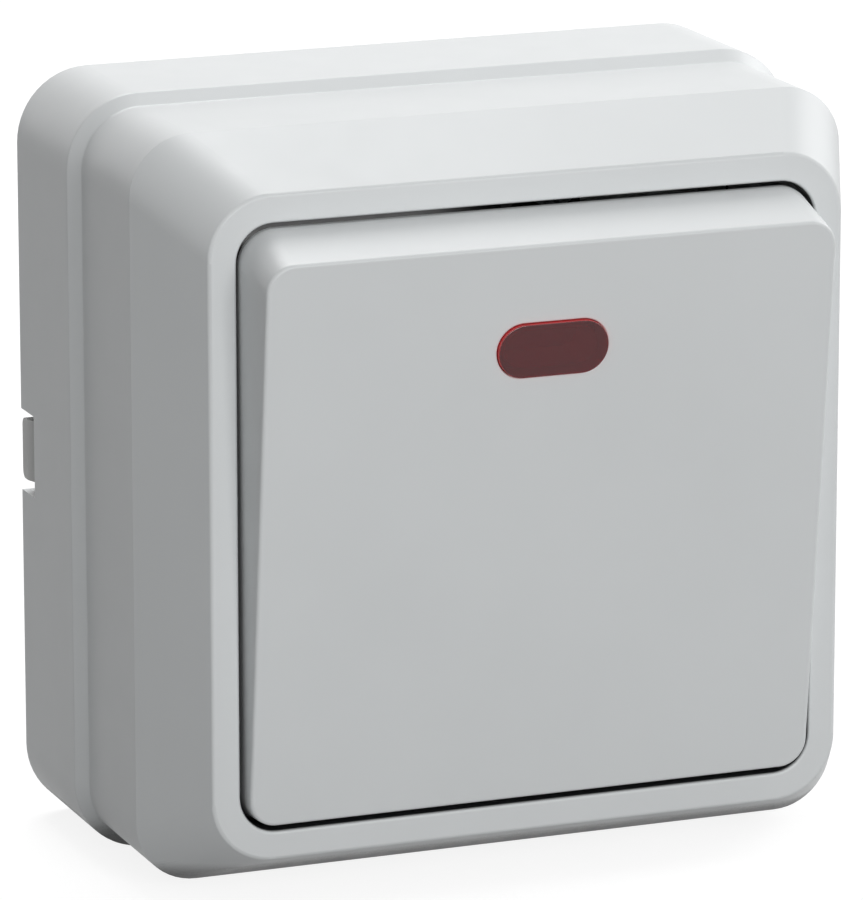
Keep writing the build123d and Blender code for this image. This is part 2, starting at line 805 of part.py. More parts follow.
with BuildPart() as mechanism_body:
    with BuildSketch(front_plane(plate_thickness)):
        RectangleRounded(mechanism_width, mechanism_height, mechanism_corner)
    extrude(amount=body_height)
    with BuildSketch(front_plane(flange_back)):
        for side in (-1, 1):
            with Locations((side * flange_x, side * flange_z)):
                Circle(flange_radius)
            with Locations((side * flange_x, side * (flange_z + mechanism_height / 2) / 2)):
                Rectangle(2 * flange_radius, flange_z - mechanism_height / 2)
    extrude(amount=flange_thickness)
    with BuildSketch(front_plane(flange_back)):
        with Locations((flange_x, flange_z), (-flange_x, -flange_z)):
            Circle(mechanism_screw_radius + mechanism_screw_clearance)
    extrude(amount=flange_thickness, mode=Mode.SUBTRACT)

    # Chamber of the see-saw, and the two channels of the strips
    with BuildSketch(front_plane(chamber_floor)):
        RectangleRounded(chamber_width, 2 * chamber_half_length, chamber_corner)
        with Locations((-channel_x, contact_z), (channel_x, -contact_z)):
            Rectangle(channel_length + 2 * chamber_corner, strip_width + 2 * terminal_clearance)
    extrude(amount=mechanism_front - chamber_floor, mode=Mode.SUBTRACT)

    # Stops under the upper arm
    with BuildSketch(front_plane(chamber_floor)):
        for side in (-1, 1):
            with Locations((side * (stop_inner + chamber_width / 2) / 2, (stop_from + stop_to) / 2)):
                Rectangle(chamber_width / 2 - stop_inner, stop_to - stop_from)
    extrude(amount=stop_height)

    # Terminal pockets and the slots through which the wires are laid in
    with BuildSketch(front_plane(terminal_back)):
        with Locations((-terminal_x, terminal_z), (terminal_x, -terminal_z)):
            RectangleRounded(pocket_width, pocket_length, chamber_corner)
    extrude(amount=mechanism_front - terminal_back, mode=Mode.SUBTRACT)
    with BuildSketch(front_plane(wire_slot_floor)):
        for side in (-1, 1):
            with Locations((side * terminal_x, -side * (terminal_z + mechanism_height / 2) / 2)):
                Rectangle(wire_slot_width, mechanism_height / 2 - terminal_z)
    extrude(amount=mechanism_front - wire_slot_floor, mode=Mode.SUBTRACT)

    # Recesses for the cover's clips
    with BuildSketch(front_plane(clip_end - clip_recess_margin)):
        Rectangle(mechanism_width, 2 * latch_z)
        Rectangle(
            mechanism_width - 2 * (clip_barb + clip_recess_margin), 2 * latch_z, mode=Mode.SUBTRACT
        )
    extrude(amount=clip_barb_length + 2 * clip_recess_margin, mode=Mode.SUBTRACT)
finish(mechanism_body, "mechanism_body")


# Mechanism screws: hold the body's flanges on the base plate's bosses
flange_front = flange_back + flange_thickness
with BuildPart() as mechanism_screws:
    with BuildSketch(front_plane(flange_front)):
        with Locations((flange_x, flange_z), (-flange_x, -flange_z)):
            Circle(mechanism_screw_radius)
    extrude(amount=-mechanism_screw_length)
    with BuildSketch(front_plane(flange_front)):
        with Locations((flange_x, flange_z), (-flange_x, -flange_z)):
            Circle(mechanism_screw_head_radius)
    extrude(amount=mechanism_screw_head_height)
    with BuildSketch(front_plane(flange_front + mechanism_screw_head_height)):
        with Locations((flange_x, flange_z), (-flange_x, -flange_z)):
            Rectangle(2 * mechanism_screw_head_radius, screw_slot_width)
            Rectangle(screw_slot_width, 2 * mechanism_screw_head_radius)
    extrude(amount=-screw_slot_depth, mode=Mode.SUBTRACT)
finish(mechanism_screws, "mechanism_screws")


# Mechanism cover: closes the body, carries the lever in two ears and snaps on by two clips
load_lead_z = strip_width / 2 - lead_spacing / 2 - contact_z
clip_inner = mechanism_width / 2 + clip_gap
with BuildPart() as mechanism_cover:
    with BuildSketch(front_plane(mechanism_front)):
        RectangleRounded(mechanism_width, mechanism_height, mechanism_corner)
        Rectangle(mechanism_width + 2 * (clip_gap + clip_thickness), clip_width)
        Rectangle(tube_window_width, tube_window_length, mode=Mode.SUBTRACT)
        with Locations((-terminal_x, terminal_z), (terminal_x, -terminal_z)):
            Circle(driver_hole_radius, mode=Mode.SUBTRACT)
        with Locations((-lead_x, lamp_z), (lead_x, load_lead_z)):
            Circle(lead_hole_radius, mode=Mode.SUBTRACT)
    extrude(amount=mechanism_cover_thickness)

    # An ear and a clip on each side
    for side in (-1, 1):
        with BuildSketch(Plane.YZ.offset(side * ear_inner)):
            with Locations((-pivot_depth, 0)):
                Circle(ear_radius)
            with Locations((-(pivot_depth + cover_plate_front) / 2, 0)):
                Rectangle(pivot_depth - cover_plate_front, 2 * ear_radius)
        extrude(amount=side * ear_thickness)
        with BuildSketch(Plane.XY.offset(-clip_width / 2)):
            with BuildLine():
                Polyline(
                    (side * clip_inner, -mechanism_front),
                    (side * (clip_inner + clip_thickness), -mechanism_front),
                    (side * (clip_inner + clip_thickness), -clip_end),
                    (side * clip_inner, -clip_end),
                    (side * (clip_inner - clip_gap - clip_barb), -clip_end - clip_barb_length),
                    (side * clip_inner, -clip_end - clip_barb_length),
                    close=True,
                )
            make_face()
        extrude(amount=clip_width)
    with BuildSketch(Plane.YZ):
        with Locations((-pivot_depth, 0)):
            Circle(trunnion_radius + running_clearance)
    extrude(amount=mechanism_width / 2, both=True, mode=Mode.SUBTRACT)
finish(mechanism_cover, "mechanism_cover")


# Lamp holder: a small cradle on the mechanism cover
lamp_depth = cover_plate_front + holder_thickness + lamp_radius
holder_height = 2 * (lamp_radius + holder_gap + holder_rib)
with BuildPart() as lamp_holder:
    with BuildSketch(front_plane(cover_plate_front)):
        with Locations((0, lamp_z)):
            Rectangle(holder_length, holder_height)
    extrude(amount=holder_thickness)
    with BuildSketch(front_plane(cover_plate_front + holder_thickness)):
        with Locations((0, lamp_z)):
            Rectangle(holder_length, holder_height)
            Rectangle(holder_length, holder_height - 2 * holder_rib, mode=Mode.SUBTRACT)
    extrude(amount=holder_rib_height)
finish(lamp_holder, "lamp_holder")


# Neon lamp: a glass tube with rounded ends, lying in the cradle
with BuildPart() as neon_lamp:
    with BuildSketch(Plane.YZ.offset(-lamp_length / 2)):
        with Locations((-lamp_depth, lamp_z)):
            Circle(lamp_radius)
    extrude(amount=lamp_length)
    fillet(neon_lamp.edges().filter_by(GeomType.CIRCLE), lamp_end_radius)
finish(neon_lamp, "neon_lamp")


# Lamp resistor: a short body with two end caps, beside the lever
resistor_depth = cover_plate_front + resistor_cap_radius
resistor_base = resistor_z - resistor_length / 2
with BuildPart() as lamp_resistor:
    with BuildSketch(Plane.XY.offset(resistor_base)):
        with Locations((lead_x, -resistor_depth)):
            Circle(resistor_radius)
    extrude(amount=resistor_length)
    for cap_base in (resistor_base, resistor_base + resistor_length - resistor_cap_length):
        with BuildSketch(Plane.XY.offset(cap_base)):
            with Locations((lead_x, -resistor_depth)):
                Circle(resistor_cap_radius)
        extrude(amount=resistor_cap_length)
finish(lamp_resistor, "lamp_resistor")


# Leads: bare wires from the lamp's right end to the line terminal and, through the resistor,
# to the load terminal
lamp_end = lamp_length / 2
line_lead_depth = cover_plate_front + lead_radius + lead_clearance
upper_lead_z = lamp_z + lead_spacing / 2
lower_lead_z = lamp_z - lead_spacing / 2
lead_routes = {
    "line_lead": (
        (lamp_end, -lamp_depth, upper_lead_z),
        (lamp_end + lead_beside_lamp, -lamp_depth, upper_lead_z),
        (lamp_end + lead_beside_lamp, -line_lead_depth, lead_return_z + lead_bend),
        (-lead_x, -line_lead_depth, lead_return_z + lead_bend),
        (-lead_x, -line_lead_depth, lamp_z),
        (-lead_x, -terminal_front, lamp_z),
    ),
    "lamp_lead": (
        (lamp_end, -lamp_depth, lower_lead_z),
        (lead_x, -lamp_depth, lower_lead_z),
        (lead_x, -resistor_depth, lower_lead_z - lead_bend),
        (lead_x, -resistor_depth, resistor_base + resistor_length),
    ),
    "load_lead": (
        (lead_x, -resistor_depth, resistor_base),
        (lead_x, -resistor_depth, load_lead_z),
        (lead_x, -terminal_front, load_lead_z),
    ),
}
for name, route in lead_routes.items():
    with BuildPart() as lead:
        with BuildLine() as lead_path:
            FilletPolyline(*route, radius=lead_bend)
        with BuildSketch(Plane(origin=lead_path.line @ 0, z_dir=lead_path.line % 0)):
            Circle(lead_radius)
        sweep(path=lead_path.line)
    finish(lead, name)
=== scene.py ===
import bpy
from math import cos, pi, radians, sin
from mathutils import Euler, Matrix, Vector


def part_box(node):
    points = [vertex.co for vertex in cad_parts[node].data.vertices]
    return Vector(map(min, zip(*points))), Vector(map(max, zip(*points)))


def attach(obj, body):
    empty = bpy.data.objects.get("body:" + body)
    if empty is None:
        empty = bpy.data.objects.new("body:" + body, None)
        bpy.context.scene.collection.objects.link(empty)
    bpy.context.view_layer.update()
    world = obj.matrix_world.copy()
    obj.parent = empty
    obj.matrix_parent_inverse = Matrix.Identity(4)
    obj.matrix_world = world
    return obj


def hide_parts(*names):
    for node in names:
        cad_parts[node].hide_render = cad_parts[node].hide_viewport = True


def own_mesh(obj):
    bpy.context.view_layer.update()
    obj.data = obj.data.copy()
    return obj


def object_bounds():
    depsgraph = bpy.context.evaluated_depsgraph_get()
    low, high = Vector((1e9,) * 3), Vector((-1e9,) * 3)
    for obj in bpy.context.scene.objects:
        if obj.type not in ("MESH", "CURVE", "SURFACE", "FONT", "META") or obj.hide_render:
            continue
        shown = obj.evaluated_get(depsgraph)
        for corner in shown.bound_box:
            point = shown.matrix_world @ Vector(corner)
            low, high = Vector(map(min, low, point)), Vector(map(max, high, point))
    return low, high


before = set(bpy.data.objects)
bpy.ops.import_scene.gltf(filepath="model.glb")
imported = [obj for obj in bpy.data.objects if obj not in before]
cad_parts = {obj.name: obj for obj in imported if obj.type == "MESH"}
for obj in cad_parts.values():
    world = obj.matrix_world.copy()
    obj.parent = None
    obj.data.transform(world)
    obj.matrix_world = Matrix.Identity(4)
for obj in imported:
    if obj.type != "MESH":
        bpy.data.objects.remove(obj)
cad_low, cad_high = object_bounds()

MM = 0.001

# Camera: fitted to the straight edges of the photograph, in the frame of 863 by 900 pixels
CAMERA_PLACE = Vector((-208.63, -540.62, 141.63)) * MM
CAMERA_AZIMUTH = -21.653
CAMERA_ELEVATION = 14.059
CAMERA_LENS = 270.70
SENSOR_WIDTH = 36.0
CAMERA_SHIFT = (-0.0108, 0.0007)
CAMERA_NEAR = 0.05
CAMERA_FAR = 20.0

# The way to the room, and the key at rest: its pivot, the way its face looks, and its rim's rear
# edge above the pivot
ROOM = Vector((0, -1, 0))
PIVOT = Vector((0, -30.61, 0)) * MM
KEY_TILT = radians(5.97)
KEY_OUT = Vector((0, -cos(KEY_TILT), -sin(KEY_TILT)))
KEY_RIM_HEIGHT = 1.42 * MM

# Light levels: the share of white that a white face turned to the light would show, worked out from
# the brightness of the faces in the photograph. To the eye and in a mirroring face the sky is
# brighter.
SKY_LEVEL = 0.17
MIRRORED_SKY = 1.40

# Lamps: name, degrees to the right of the front, degrees above the object, and level
LAMPS = [
    ("front_lamp", 4, 15, 0.44),
    ("left_lamp", -55, 10, 0.05),
    ("side_lamp", 95, 30, 0.38),
    ("back_lamp", 172, 57, 0.42),
]
LAMP_WIDTH = 0.5
LAMP_DISTANCE = 0.9

# Floor: its reach and its drop below the object, the grey that it bounces onto the object, and the
# grey and the glow that make it white to the eye and pale in a mirroring face
FLOOR_REACH = 3.0
FLOOR_CLEARANCE = 0.05 * MM
FLOOR_BOUNCE = 0.30
FLOOR_SHADE = 0.30
FLOOR_GLOW = 0.86
MIRRORED_FLOOR_GLOW = 0.55

# Noise: its usual lowest and highest value, and its detail in soft patches and in a fine grain
NOISE_LOW = 0.25
NOISE_HIGH = 0.75
PATCH_DETAIL = 2.0
GRAIN_DETAIL = 3.0

# Plastic: sizes of its flow marks and of its duller patches, how strongly its grain shows, and how
# strongly it bends light
FLOW_MM = 14.0
DULL_PATCH_MM = 3.0
MOULDED_GRAIN_STRENGTH = 0.5
ABS_IOR = 1.53
NYLON_IOR = 1.53
ACETAL_IOR = 1.48
THERMOSET_IOR = 1.60
POLYCARBONATE_IOR = 1.585
LACQUER_IOR = 1.52
GLASS_IOR = 1.50

# Metal: size and detail of its tarnish, and how strongly its grain shows
TARNISH_MM = 2.5
TARNISH_DETAIL = 4.0
WORKED_GRAIN_STRENGTH = 0.6

# Painted shade in narrow gaps: how far it looks for a facing wall, the open share from which a face
# is clear of it, the depth over which it sets in, and the dark grey painted there as shade
GAP_REACH = 5 * MM
GAP_RAYS = 8
COVER_CLEAR_SHARE = 0.60
KEY_CLEAR_SHARE = 0.95
GAP_EDGE = 0.3 * MM
PAINTED_GAP_SHADE_COLOUR = "#1C1C1E"

# Lens's rim: the frosted skin sets in where the normal's Y rises from the first to the second value
RIM_START = -0.90
RIM_FULL = -0.55
RIM_SHARE = 0.75
RIM_GRAIN_MM = 0.15
RIM_GRAIN_DEPTH_MM = 0.002

# Resistor's colour bands: colour, and place as a share of its length
BAND_WIDTH = 0.55 * MM
BANDS = [("#6B3A1E", 0.20), ("#1A1A1A", 0.36), ("#D9701E", 0.52), ("#B08A3C", 0.76)]

# Lamp's electrodes: two wires along X in the glass
ELECTRODE_COUNT = 2
ELECTRODE_RADIUS = 0.25 * MM
ELECTRODE_GAP = 1.1 * MM
ELECTRODE_END_SPACE = 1.4 * MM
ELECTRODE_SIDES = 16

# Plunger's spring
SPRING_TURNS = 5.0
SPRING_RADIUS = 1.42 * MM
SPRING_WIRE_RADIUS = 0.2 * MM
SPRING_STEPS = 40
SPRING_WIRE_SIDES = 12


def linear(code):
    """Linear red, green, blue and alpha of an sRGB hex colour."""
    parts = [int(code[i:i + 2], 16) / 255 for i in (1, 3, 5)]
    return [p / 12.92 if p <= 0.04045 else ((p + 0.055) / 1.055) ** 2.4 for p in parts] + [1.0]


def grey(level):
    """Linear red, green, blue and alpha of an even grey; 1 is white."""
    return (level, level, level, 1.0)


def add_node(tree, kind, inputs=None, **settings):
    """Adds a node with its settings; an input is a value or another node's output."""
    node = tree.nodes.new(kind)
    for name, value in settings.items():
        setattr(node, name, value)
    for socket, value in (inputs or {}).items():
        if isinstance(value, bpy.types.NodeSocket):
            tree.links.new(value, node.inputs[socket])
        else:
            node.inputs[socket].default_value = value
    return node


def new_material(name):
    """An empty node material with its output node and the object coordinates."""
    material = bpy.data.materials.new(name)
    material.use_nodes = True
    tree = material.node_tree
    tree.nodes.clear()
    output = add_node(tree, "ShaderNodeOutputMaterial")
    place = add_node(tree, "ShaderNodeTexCoord").outputs["Object"]
    return material, tree, output, place


def patches(tree, place, size_mm, levels=(0.0, 1.0), detail=PATCH_DETAIL):
    """A value that wanders between two levels, in soft patches of about the given size."""
    spots = add_node(
        tree, "ShaderNodeTexNoise",
        {"Vector": place, "Scale": 1 / (size_mm * MM), "Detail": detail},
    )
    return add_node(
        tree, "ShaderNodeMapRange",
        {
            "Value": spots.outputs["Fac"], "From Min": NOISE_LOW, "From Max": NOISE_HIGH,
            "To Min": levels[0], "To Max": levels[1],
        },
    ).outputs["Result"]


def two_tone(tree, place, size_mm, light, dark, detail=PATCH_DETAIL):
    """A colour that wanders between a light and a dark tone, in soft patches."""
    return add_node(
        tree, "ShaderNodeMix",
        {
            "Factor": patches(tree, place, size_mm, detail=detail),
            "A": linear(light), "B": linear(dark),
        },
        data_type="RGBA",
    ).outputs["Result"]


def grain(tree, place, size_mm, depth_mm, strength, detail=GRAIN_DETAIL):
    """The normal of a surface with a fine grain of about the given size and depth."""
    height = add_node(
        tree, "ShaderNodeTexNoise",
        {"Vector": place, "Scale": 1 / (size_mm * MM), "Detail": detail},
    )
    return add_node(
        tree, "ShaderNodeBump",
        {"Height": height.outputs["Fac"], "Distance": depth_mm * MM, "Strength": strength},
    ).outputs["Normal"]


def paint_gap_shade(tree, place, colour, outwards, height, clear_share):
    """Paints shade into a colour deep in a narrow gap, but not in front of the plane at the given
    height.
    """
    facing = add_node(
        tree, "ShaderNodeAmbientOcclusion", {"Distance": GAP_REACH}, samples=GAP_RAYS
    )
    opening = add_node(
        tree, "ShaderNodeMapRange",
        {"Value": facing.outputs["AO"], "From Min": clear_share / 2, "From Max": clear_share},
    )
    rise = add_node(
        tree, "ShaderNodeVectorMath", {0: place, 1: outwards}, operation="DOT_PRODUCT"
    )
    in_front = add_node(
        tree, "ShaderNodeMapRange",
        {"Value": rise.outputs["Value"], "From Min": height - GAP_EDGE, "From Max": height},
    )
    clear = add_node(
        tree, "ShaderNodeMath",
        {0: opening.outputs["Result"], 1: in_front.outputs["Result"]}, operation="MAXIMUM",
    )
    return add_node(
        tree, "ShaderNodeMix",
        {"Factor": clear.outputs[0], "A": linear(PAINTED_GAP_SHADE_COLOUR), "B": colour}, data_type="RGBA",
    ).outputs["Result"]


def painted_bands(tree, place, colour, node_name):
    """Paints the resistor's bands over a colour, across the length of the node, which lies along Z."""
    low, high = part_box(node_name)
    along = add_node(tree, "ShaderNodeSeparateXYZ", {"Vector": place}).outputs["Z"]
    for band_colour, share in BANDS:
        middle = low[2] + share * (high[2] - low[2])
        inside = add_node(
            tree, "ShaderNodeMath", {0: along, 1: middle, 2: BAND_WIDTH / 2}, operation="COMPARE"
        )
        colour = add_node(
            tree, "ShaderNodeMix",
            {"Factor": inside.outputs[0], "A": colour, "B": linear(band_colour)}, data_type="RGBA",
        ).outputs["Result"]
    return colour


def frosted_rim(tree, place, body, colour, roughness):
    """Adds a frosted skin over the faces that turn away from the front, as on a moulded lens's rim."""
    skin = add_node(
        tree, "ShaderNodeBsdfPrincipled",
        {
            "Base Color": linear(colour),
            "Roughness": roughness,
            "IOR": POLYCARBONATE_IOR,
            "Normal": grain(
                tree, place, RIM_GRAIN_MM, RIM_GRAIN_DEPTH_MM, MOULDED_GRAIN_STRENGTH, PATCH_DETAIL
            ),
        },
    )
    facing = add_node(tree, "ShaderNodeNewGeometry").outputs["Normal"]
    backwards = add_node(tree, "ShaderNodeSeparateXYZ", {"Vector": facing}).outputs["Y"]
    share = add_node(
        tree, "ShaderNodeMapRange",
        {"Value": backwards, "From Min": RIM_START, "From Max": RIM_FULL, "To Max": RIM_SHARE},
    )
    return add_node(
        tree, "ShaderNodeMixShader",
        {0: share.outputs["Result"], 1: body, 2: skin.outputs["BSDF"]},
    ).outputs[0]


def moulded_plastic(
    name, light, dark, roughness, grain_mm, grain_depth_mm, ior,
    clear=0.0, painted_shade_behind=None, banded=None, rim=None,
):
    """Moulded or dipped plastic: a faint flow shade, uneven gloss and a fine eroded grain."""
    material, tree, output, place = new_material(name)
    colour = two_tone(tree, place, FLOW_MM, light, dark)
    # Painted shade: the colour goes dark deep in narrow gaps behind the given plane
    if painted_shade_behind:
        colour = paint_gap_shade(tree, place, colour, *painted_shade_behind)
    if banded:
        colour = painted_bands(tree, place, colour, banded)
    surface = add_node(
        tree, "ShaderNodeBsdfPrincipled",
        {
            "Base Color": colour,
            "Roughness": patches(tree, place, DULL_PATCH_MM, roughness),
            "IOR": ior,
            "Transmission Weight": clear,
            "Normal": grain(tree, place, grain_mm, grain_depth_mm, MOULDED_GRAIN_STRENGTH),
        },
    ).outputs["BSDF"]
    if rim:
        surface = frosted_rim(tree, place, surface, *rim)
    tree.links.new(surface, output.inputs["Surface"])
    return material


def worked_metal(name, light, dark, roughness, grain_mm, stretch, grain_depth_mm):
    """Bare metal with a directional grain left by rolling, drawing or turning."""
    material, tree, output, place = new_material(name)
    drawn = add_node(
        tree, "ShaderNodeMapping", {"Vector": place, "Scale": stretch}
    ).outputs["Vector"]
    surface = add_node(
        tree, "ShaderNodeBsdfPrincipled",
        {
            "Base Color": two_tone(tree, place, TARNISH_MM, light, dark, TARNISH_DETAIL),
            "Metallic": 1.0,
            "Roughness": patches(tree, drawn, grain_mm, roughness, GRAIN_DETAIL),
            "Normal": grain(tree, drawn, grain_mm, grain_depth_mm, WORKED_GRAIN_STRENGTH),
        },
    )
    tree.links.new(surface.outputs["BSDF"], output.inputs["Surface"])
    return material


# Cover and key: white ABS, moulded against a finely eroded tool, so semi-matt with soft edge
# lights. Shade is painted into their colour deep in the narrow gap between them, behind the ring's
# face and behind the key's rim.
WHITE_ABS = ("#E7EAEB", "#E4E7E8", (0.36, 0.44), 0.25, 0.0008, ABS_IOR)
white_abs = moulded_plastic(
    "white_moulded_abs", *WHITE_ABS,
    painted_shade_behind=(ROOM, -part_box("front_cover")[0].y, COVER_CLEAR_SHARE),
)
key_abs = moulded_plastic(
    "white_moulded_key_abs", *WHITE_ABS,
    painted_shade_behind=(KEY_OUT, PIVOT.dot(KEY_OUT) + KEY_RIM_HEIGHT, KEY_CLEAR_SHARE),
)
# Base plate: the same resin from a plainer tool, a little greyer and flatter
base_abs = moulded_plastic(
    "matt_moulded_abs", "#E2E3E2", "#DADBDA", (0.50, 0.60), 0.30, 0.003, ABS_IOR
)
# Lever: natural nylon, ivory and slightly waxy
lever_nylon = moulded_plastic(
    "natural_moulded_nylon", "#E6E0CC", "#DAD2B8", (0.34, 0.46), 0.30, 0.002, NYLON_IOR
)
# Plunger: acetal, very smooth where it slides
plunger_acetal = moulded_plastic(
    "smooth_moulded_acetal", "#ECEAE4", "#E2DFD6", (0.22, 0.30), 0.40, 0.001, ACETAL_IOR
)
# Mechanism housing: pressed thermoset, near black, with a mineral speckle and a dull gloss
housing_thermoset = moulded_plastic(
    "pressed_thermoset", "#1F1F21", "#161618", (0.46, 0.66), 0.20, 0.006, THERMOSET_IOR
)
# Mechanism cover and lamp cradle: light polycarbonate
cover_polycarbonate = moulded_plastic(
    "light_moulded_polycarbonate", "#D9DADB", "#CBCDCF", (0.24, 0.36), 0.35, 0.002,
    POLYCARBONATE_IOR,
)
# Resistor: dipped lacquer, tan, with a soft sheen and four painted bands
resistor_lacquer = moulded_plastic(
    "dipped_resistor_lacquer", "#C9A871", "#B99458", (0.28, 0.36), 0.30, 0.004, LACQUER_IOR,
    banded="lamp_resistor",
)
# Lens: clear red polycarbonate with a little scatter, so its face shows dark over the hollow key.
# Its rim is frosted, so it catches the light as a bright red line.
lens_red = moulded_plastic(
    "clear_red_polycarbonate", "#CC2A3A", "#C42636", (0.04, 0.06), 0.60, 0.0004,
    POLYCARBONATE_IOR, clear=0.86, rim=("#EA3C40", 0.35),
)
# Lamp: thin drawn glass
lamp_glass = moulded_plastic(
    "drawn_lamp_glass", "#F6F4F0", "#F2F0EC", (0.02, 0.04), 0.80, 0.0006, GLASS_IOR, clear=0.95
)
# Electrodes: nickel wire, dull grey
nickel_wire = worked_metal(
    "drawn_nickel_wire", "#A9A59C", "#8E8A82", (0.30, 0.44), 0.2, (4.0, 1.0, 1.0), 0.002
)
# Strips and terminals: brass, rolled and stamped, warm yellow with a drawn grain
rolled_brass = worked_metal(
    "rolled_stamped_brass", "#D9B36A", "#C79A4C", (0.22, 0.38), 0.4, (1.0, 1.0, 8.0), 0.003
)
# Contacts: headed silver, bright with a slight tarnish
headed_silver = worked_metal(
    "headed_silver", "#E6E4DF", "#CFCCC4", (0.16, 0.30), 0.4, (1.0, 1.0, 1.0), 0.002
)
# Screws: zinc-plated steel, turned, cool grey
zinc_steel = worked_metal(
    "turned_zinc_plated_steel", "#C2C6C9", "#A9AFB4", (0.25, 0.40), 0.3, (1.0, 6.0, 1.0), 0.003
)
# Spring: drawn steel wire, darker and streaky
spring_wire = worked_metal(
    "drawn_spring_steel", "#9FA2A5", "#7F8387", (0.24, 0.36), 0.2, (1.0, 4.0, 1.0), 0.002
)
# Leads: tinned copper wire, soft white metal
tinned_copper = worked_metal(
    "tinned_copper_wire", "#C9C7C2", "#B3B0AA", (0.28, 0.42), 0.3, (1.0, 1.0, 4.0), 0.002
)

FINISHES = {
    "front_cover": white_abs,
    "rocker_key": key_abs,
    "base_plate": base_abs,
    "indicator_lens": lens_red,
    "swing_lever": lever_nylon,
    "plunger": plunger_acetal,
    "plunger_spring": spring_wire,
    "mechanism_body": housing_thermoset,
    "mechanism_cover": cover_polycarbonate,
    "contact_rocker": rolled_brass,
    "line_strip": rolled_brass,
    "load_strip": rolled_brass,
    "line_terminal": rolled_brass,
    "load_terminal": rolled_brass,
    "moving_contact": headed_silver,
    "fixed_contact": headed_silver,
    "terminal_screws": zinc_steel,
    "mechanism_screws": zinc_steel,
    "lamp_holder": cover_polycarbonate,
    "neon_lamp": lamp_glass,
    "lamp_resistor": resistor_lacquer,
    "line_lead": tinned_copper,
    "lamp_lead": tinned_copper,
    "load_lead": tinned_copper,
}
for node_name, finish in FINISHES.items():
    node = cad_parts[node_name]
    node.data.materials.clear()
    node.data.materials.append(finish)


def start_tree(name, inputs):
    """A geometry tree with named inputs, and the outputs of the node that gives them."""
    tree = bpy.data.node_groups.new(name, "GeometryNodeTree")
    tree.interface.new_socket("Geometry", in_out="OUTPUT", socket_type="NodeSocketGeometry")
    for input_name, kind in inputs.items():
        tree.interface.new_socket(input_name, in_out="INPUT", socket_type="NodeSocket" + kind)
    return tree, add_node(tree, "NodeGroupInput").outputs


def end_tree(tree, geometry, material):
    """Ends a geometry tree with plain geometry in its material."""
    real = add_node(tree, "GeometryNodeRealizeInstances", {"Geometry": geometry})
    finished = add_node(
        tree, "GeometryNodeSetMaterial",
        {"Geometry": real.outputs["Geometry"], "Material": material},
    )
    add_node(tree, "NodeGroupOutput", {"Geometry": finished.outputs["Geometry"]})


def bake_tree(name, tree, **values):
    """Makes a plain mesh object of a geometry tree with the given inputs."""
    source = bpy.data.objects.new(name + "_source", bpy.data.meshes.new(name + "_source"))
    bpy.context.scene.collection.objects.link(source)
    modifier = source.modifiers.new(name, "NODES")
    modifier.node_group = tree
    for item in tree.interface.items_tree:
        if item.in_out == "INPUT" and item.name in values:
            modifier[item.identifier] = values[item.name]
    graph = bpy.context.evaluated_depsgraph_get()
    mesh = bpy.data.meshes.new_from_object(source.evaluated_get(graph))
    mesh.name = name
    bpy.data.objects.remove(source)
    piece = bpy.data.objects.new(name, mesh)
    bpy.context.scene.collection.objects.link(piece)
    return piece


def wire_tree(material):
    """A geometry tree of parallel wires along X, side by side along Z."""
    tree, given = start_tree(
        "electrode_wires",
        {
            "Count": "Int", "Radius": "Float", "Length": "Float", "Sides": "Int",
            "Gap": "Float", "Middle": "Vector",
        },
    )
    wire = add_node(
        tree, "GeometryNodeMeshCylinder",
        {"Vertices": given["Sides"], "Radius": given["Radius"], "Depth": given["Length"]},
    )
    lying = add_node(
        tree, "GeometryNodeTransform",
        {"Geometry": wire.outputs["Mesh"], "Rotation": (0, pi / 2, 0)},
    )
    step = add_node(tree, "ShaderNodeCombineXYZ", {"Z": given["Gap"]}).outputs["Vector"]
    half_row = add_node(tree, "ShaderNodeVectorMath", {0: step, "Scale": 0.5}, operation="SCALE")
    start = add_node(
        tree, "ShaderNodeVectorMath", {0: given["Middle"], 1: half_row.outputs["Vector"]},
        operation="SUBTRACT",
    )
    row = add_node(
        tree, "GeometryNodeMeshLine",
        {"Count": given["Count"], "Start Location": start.outputs["Vector"], "Offset": step},
    )
    wires = add_node(
        tree, "GeometryNodeInstanceOnPoints",
        {"Points": row.outputs["Mesh"], "Instance": lying.outputs["Geometry"]},
    )
    end_tree(tree, wires.outputs["Instances"], material)
    return tree


def spring_tree(material):
    """A geometry tree of a coil spring along Z, standing on the origin."""
    tree, given = start_tree(
        "coil_spring",
        {
            "Turns": "Float", "Radius": "Float", "Height": "Float", "Steps": "Int",
            "Wire Radius": "Float", "Wire Sides": "Int",
        },
    )
    coil = add_node(
        tree, "GeometryNodeCurveSpiral",
        {
            "Resolution": given["Steps"], "Rotations": given["Turns"], "Height": given["Height"],
            "Start Radius": given["Radius"], "End Radius": given["Radius"],
        },
    )
    section = add_node(
        tree, "GeometryNodeCurvePrimitiveCircle",
        {"Resolution": given["Wire Sides"], "Radius": given["Wire Radius"]}, mode="RADIUS",
    )
    wire = add_node(
        tree, "GeometryNodeCurveToMesh",
        {
            "Curve": coil.outputs["Curve"], "Profile Curve": section.outputs["Curve"],
            "Fill Caps": True,
        },
    )
    smooth = add_node(tree, "GeometryNodeSetShadeSmooth", {"Geometry": wire.outputs["Mesh"]})
    end_tree(tree, smooth.outputs["Geometry"], material)
    return tree


def make_electrodes():
    """The two electrodes in the neon lamp's glass, clear of both its ends."""
    low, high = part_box("neon_lamp")
    electrodes = bake_tree(
        "lamp_electrodes", wire_tree(nickel_wire),
        Count=ELECTRODE_COUNT, Radius=ELECTRODE_RADIUS, Gap=ELECTRODE_GAP, Sides=ELECTRODE_SIDES,
        Length=high[0] - low[0] - 2 * ELECTRODE_END_SPACE,
        Middle=[(a + b) / 2 for a, b in zip(low, high)],
    )
    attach(electrodes, "housing")


